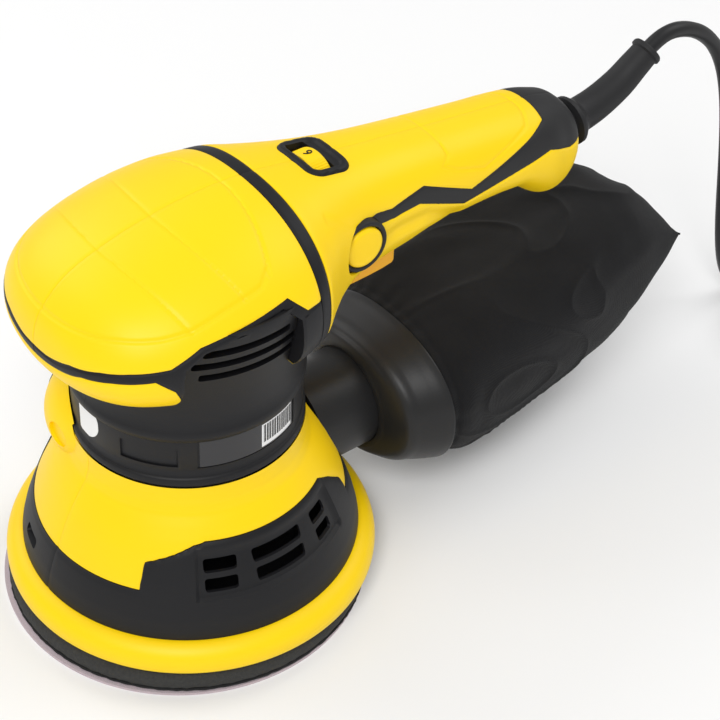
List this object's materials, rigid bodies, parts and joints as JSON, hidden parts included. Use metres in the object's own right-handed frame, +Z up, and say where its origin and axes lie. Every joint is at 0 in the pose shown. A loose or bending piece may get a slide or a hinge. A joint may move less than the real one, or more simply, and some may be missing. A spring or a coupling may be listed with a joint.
{
  "type": "orbital sander",
  "caption": "Corded random orbital sander: domed motor head, round shroud over a sanding pad, long rear handle with trigger and lock button, side vents and a fabric dust bag.",
  "frame": {"origin": "where the motor axis meets the underside of the sanding disc", "axes": "+Y back along the handle to the lead, +X the side with the lock button, +Z up"},
  "size_m": [0.1803, 0.483, 0.186],
  "materials": {
    "yellow_shell": "satin moulded ABS, fine spark texture",
    "amber_trigger": "smooth moulded",
    "black_plastic": "fine textured moulding",
    "grey_plastic": "satin moulding",
    "soft_rubber": "matt",
    "foam": "cellular foam",
    "hook_pile": "short hooks",
    "abrasive": "coated paper with loop backing",
    "steel": "ground",
    "core_steel": "laminated, oiled",
    "copper": "lacquered copper",
    "cast_alloy": "die cast",
    "carbon": "pressed carbon",
    "bag_cloth": "woven polyester, matt",
    "label_film": "printed film",
    "circuit": "glass-fibre board",
    "lead_sheath": "smooth PVC"
  },
  "bodies": {
    "housing": {"lower_bearing": "steel", "upper_bearing": "steel", "bearing_plate": "cast_alloy", "stator_core": "core_steel", "field_coil_front": "copper", "field_coil_rear": "copper", "bearing_bridge": "black_plastic", "brush_holder_left": "black_plastic", "brush_left": "carbon", "brush_holder_right": "black_plastic", "brush_right": "carbon", "shroud_left": "yellow_shell", "shroud_right": "yellow_shell", "vent_band_left": "black_plastic", "vent_band_right": "black_plastic", "rim_ring": "yellow_shell", "pad_brake": "soft_rubber", "nose_band_left": "black_plastic", "nose_band_right": "black_plastic", "head_cover_left": "yellow_shell", "head_cover_right": "yellow_shell", "loop_band_left": "black_plastic", "loop_band_right": "black_plastic", "grip_strip_left": "soft_rubber", "grip_strip_right": "soft_rubber", "handle_cover_left": "yellow_shell", "handle_cover_right": "yellow_shell", "neck_left": "black_plastic", "neck_right": "black_plastic", "rating_label": "label_film", "dial_bezel": "black_plastic", "speed_board": "circuit", "switch_body": "black_plastic", "cord_clamp": "black_plastic", "lock_button_ring": "black_plastic", "dust_tube": "grey_plastic", "cord_guard": "soft_rubber", "lead": "lead_sheath", "lead_coil": "lead_sheath", "plug": "black_plastic"},
    "armature": {"counterweight": "core_steel", "armature_shaft": "steel", "fan": "grey_plastic", "rotor_core": "core_steel", "armature_winding": "copper", "commutator": "copper"},
    "pad": {"sanding_disc": "abrasive", "hook_face": "hook_pile", "foam_pad": "foam", "backing_plate": "black_plastic", "pad_screw_1": "steel", "pad_screw_2": "steel", "pad_screw_3": "steel", "pad_screw_4": "steel", "pad_bearing": "steel"},
    "trigger": {"trigger": "amber_trigger"},
    "lock_button": {"lock_button": "yellow_shell"},
    "speed_dial": {"speed_dial": "yellow_shell"},
    "dust_box": {"bag_collar": "grey_plastic", "dust_bag": "bag_cloth"}
  },
  "joints": [
    {"name": "motor_spin", "type": "hinge", "parent": "housing", "child": "armature", "pos_m": [0, 0, 0], "axis": [0, 0, 1], "continuous": true},
    {"name": "pad_spin", "type": "hinge", "parent": "armature", "child": "pad", "pos_m": [0, -0.002, 0], "axis": [0, 0, 1], "continuous": true},
    {"name": "trigger_squeeze", "type": "hinge", "parent": "housing", "child": "trigger", "pos_m": [0, 0.058, 0.129], "axis": [1, 0, 0], "range_deg": [0, 6], "stiffness_Nm_per_rad": 1.5, "springref_deg": -6.88},
    {"name": "lock_press", "type": "slide", "parent": "housing", "child": "lock_button", "axis": [-1, 0, 0], "range_m": [0, 0.003], "stiffness_N_per_m": 500, "springref_m": -0.001},
    {"name": "dial_turn", "type": "hinge", "parent": "housing", "child": "speed_dial", "pos_m": [0, 0.0585, 0.1686], "axis": [0, 1, 0], "range_deg": [-250, 0]},
    {"name": "bag_release", "type": "slide", "parent": "housing", "child": "dust_box", "axis": [0, 1, 0], "range_m": [0, 0.022]}
  ]
}
